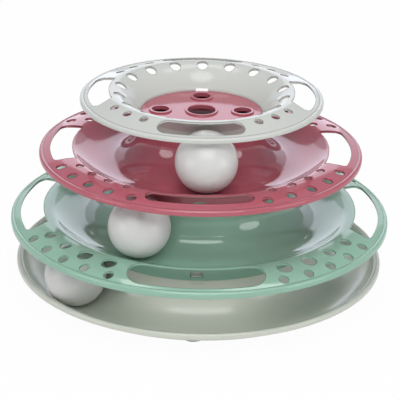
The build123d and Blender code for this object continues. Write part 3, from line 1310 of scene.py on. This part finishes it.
class Studio:
    """Camera, floor, surroundings and lamps."""

    focal_pixels = 1714.0
    image_size = 400.0
    sensor = 36.0
    distance = 1138.0
    elevation = 22.95
    roll = 1.19
    target_height = 60.0
    centre = (199.8, 192.8)
    clip_end = 50.0
    floor_size = 6.0
    floor_colour = (0.75, 0.75, 0.75, 1)
    floor_roughness = 0.9
    floor_glow_seen = 0.97
    floor_glow_mirrored = 0.7
    room_level = 0.32
    room_mirrored = 0.25
    room_tint = (0.88, 0.9, 1, 1)
    lamps = (
        SoftBox("left_box", -62, 7, 1.5, 0.72, 0.72, 4.2),
        SoftBox("right_box", 62, 7, 1.5, 0.72, 0.72, 4.2),
        SoftBox("front_strip", 3, 47, 1.5, 1.3, 0.64, 4.7, LampShape.RECTANGLE),
        SoftBox("ceiling_box", 4, 81, 1.3, 0.46, 0.46, 6),
        SoftBox("crown_strip", 176, 74, 1.3, 0.9, 0.2, 4.4, LampShape.RECTANGLE),
        SoftBox("backdrop", 180, 15, 1.5, 0.76, 0.72, 1.0, LampShape.RECTANGLE, (0.86, 0.88, 1)),
        SoftBox("backdrop_wings", 180, 15, 1.6, 1.7, 0.76, 0.7, LampShape.RECTANGLE, (0.86, 0.88, 1)),
    )

    def camera(self) -> None:
        """Sets up the camera at the photograph's viewing angle."""
        data = bpy.data.cameras.new("view")
        data.sensor_width = self.sensor
        data.lens = self.focal_pixels / self.image_size * self.sensor
        data.shift_x = (self.image_size / 2 - self.centre[0]) / self.image_size
        data.shift_y = (self.centre[1] - self.image_size / 2) / self.image_size
        data.clip_end = self.clip_end
        camera = bpy.data.objects.new("view", data)
        bpy.context.scene.collection.objects.link(camera)
        lift = radians(self.elevation)
        turn = Euler((pi / 2 - lift, 0, 0)).to_matrix() @ Matrix.Rotation(radians(self.roll), 3, "Z")
        camera.rotation_euler = turn.to_euler()
        camera.location = Vector(
            (0, -self.distance * cos(lift), self.target_height + self.distance * sin(lift))
        ) * MM
        bpy.context.scene.camera = camera

    def floor(self) -> None:
        """Lays a plain pale floor that shows only a faint shadow."""
        deselect_all()
        bpy.ops.mesh.primitive_plane_add(size=self.floor_size)
        floor = bpy.context.object
        floor.name = "floor"
        material, bench, shader = new_material("pale_floor")
        bench.fill(shader, {"Base Color": self.floor_colour, "Roughness": self.floor_roughness})
        glow = bench.add("ShaderNodeEmission", {"Strength": 1})
        path = bench.add("ShaderNodeLightPath").outputs
        mirrored = bench.math("MULTIPLY", path["Is Glossy Ray"], self.floor_glow_mirrored)
        share = bench.math("MULTIPLY_ADD", path["Is Camera Ray"], self.floor_glow_seen, mirrored)
        shaders = {1: shader.outputs["BSDF"], 2: glow.outputs["Emission"]}
        mix = bench.add("ShaderNodeMixShader", {"Fac": share, **shaders})
        bench.fill(material.node_tree.nodes["Material Output"], {"Surface": mix.outputs["Shader"]})
        floor.data.materials.append(material)

    def surroundings(self) -> None:
        """Makes a white surround, darker and cooler for the light and the reflections that it gives."""
        world = bpy.data.worlds.new("white_room")
        bpy.context.scene.world = world
        world.use_nodes = True
        bench = NodeBench(world.node_tree)
        path = bench.add("ShaderNodeLightPath").outputs
        seen = bench.math("MAXIMUM", path["Is Camera Ray"], path["Is Transmission Ray"])
        shown = bench.math("MULTIPLY_ADD", path["Is Glossy Ray"], self.room_mirrored, seen)
        level = bench.ramp(shown, (0, 1), (self.room_level, 1))
        tint = bench.mix(path["Is Camera Ray"], self.room_tint, (1, 1, 1, 1))
        bench.fill(world.node_tree.nodes["Background"], {"Strength": level, "Color": tint})

    def build(self) -> None:
        """Sets up the whole studio."""
        bpy.context.scene.view_settings.view_transform = "Standard"
        self.camera()
        self.floor()
        self.surroundings()
        for lamp in self.lamps:
            lamp.hang(Vector((0, 0, self.target_height)) * MM)


class BallTower:
    """The whole toy: four tiers, three balls and four feet."""

    # Each crease value is the rim's crease radius, where the colour gets a band of painted shade.
    taupe = PlasticFinish("taupe_plastic", (0.57, 0.59, 0.51), (0.52, 0.54, 0.46), 0.2, 0.42, crease=119.24)
    green = PlasticFinish("green_plastic", (0.27, 0.46, 0.35), (0.23, 0.41, 0.3), crease=122.64)
    red = PlasticFinish("red_plastic", (0.42, 0.1, 0.13), (0.375, 0.085, 0.11), crease=103.44)
    pale = PlasticFinish("pale_plastic", (0.55, 0.565, 0.525), (0.51, 0.525, 0.485), 0.1, 0.25, crease=76.43)
    pearl = PlasticFinish("pearl_plastic", (0.6, 0.6, 0.575), (0.555, 0.555, 0.53), 0.32, 0.5)
    lower_turn = -0.6
    foot_turn = -1.5

    def tiers(self) -> list[Tier]:
        """Gives the four tiers, from the floor up."""
        lower = mirrored_row(118.3, 6.3, 26.9, 8.85, 5) + mirrored_row(108.4, 9.8, 29.9, 10.0, 2)
        lower += mirrored_row(108.4, 7.6, 49.9, 10.0, 2)
        lower += [Slot(120.2, 22.0, 22.5, side) for side in (0, 180)]
        lower += [CutOut(118.5, 15.1, 19.3, 22.4, side) for side in (90, -90)]
        lower = [replace(shape, azimuth=shape.azimuth + self.lower_turn) for shape in lower]
        middle = mirrored_row(97.6, 6.6, 25.2, 9.9, 5) + mirrored_row(86.8, 5.2, 31.0, 10.1, 4)
        middle += [Slot(97.2, 11.3, 21.1, side) for side in (0, 180)]
        middle += [CutOut(98.5, 14.3, 19.6, 18.6, side) for side in (90, -90)]
        top = mirrored_row(64.594, 5.5, 33.5, 12.2, 3)
        top += [Slot(73.994, 13.7, 23.4, side) for side in (0, 180)]
        top += [CutOut(73.794, 13.5, 18.4, 23.2, side) for side in (90, -90)]
        top += [Hole(53.7, index * 20.0, 7.4, 3.3) for index in range(18)]
        return [
            BaseTier(
                "base_dish_moulding", "base_dish", self.taupe, track=99.0, floor=6.6, reach=22.6,
                dish_angle=57.0, lip=2.4, flange_radius=0.0, flange_angle=0.0, rim_drop=2.0,
                turn_above=self.lower_turn, foot_turn=self.foot_turn,
            ),
            TrackTier(
                "lower_ring_moulding", "lower_track_ring", self.green, lower, skirt=78.3, seat_below=33.1,
                turn=self.lower_turn,
            ),
            PlateTier(
                "middle_ring_moulding", "middle_track_ring", self.red, middle, track=61.5, floor=87.0,
                reach=44.3, dish_angle=34.7, lip=8.0, flange_radius=53.0, flange_angle=18.0,
                rim_drop=1.95, spigot_rise=4.4, skirt=59.3, seat_below=72.6, bore=9.0, collar=10.8,
            ),
            BowlTier("top_ring_moulding", "top_ring", self.pale, top),
        ]

    def balls(self) -> list[RollingBall]:
        """Gives the three balls, from the floor up."""
        runs = {"lower": (99.0, 6.6, -52.4), "middle": (80.0, 46.1, -27.8), "upper": (61.5, 87.0, 3.5)}
        return [
            RollingBall(f"{level}_ball_shell", f"{level}_ball", *run, self.pearl)
            for level, run in runs.items()
        ]

    def feet(self) -> list[RubberFoot]:
        """Gives the four feet."""
        sides = {"front": 0, "right": 90, "back": 180, "left": 270}
        return [
            RubberFoot(f"rubber_foot_{side}_pad", f"rubber_foot_{side}", turn + self.foot_turn)
            for side, turn in sides.items()
        ]


def main() -> None:
    """Loads the frame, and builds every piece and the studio."""
    logging.basicConfig(level=logging.INFO, format="%(message)s")
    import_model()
    tower = BallTower()
    for part in [*tower.tiers(), *tower.balls(), *tower.feet()]:
        part.build()
    Studio().build()


if __name__ == "__main__":
    main()
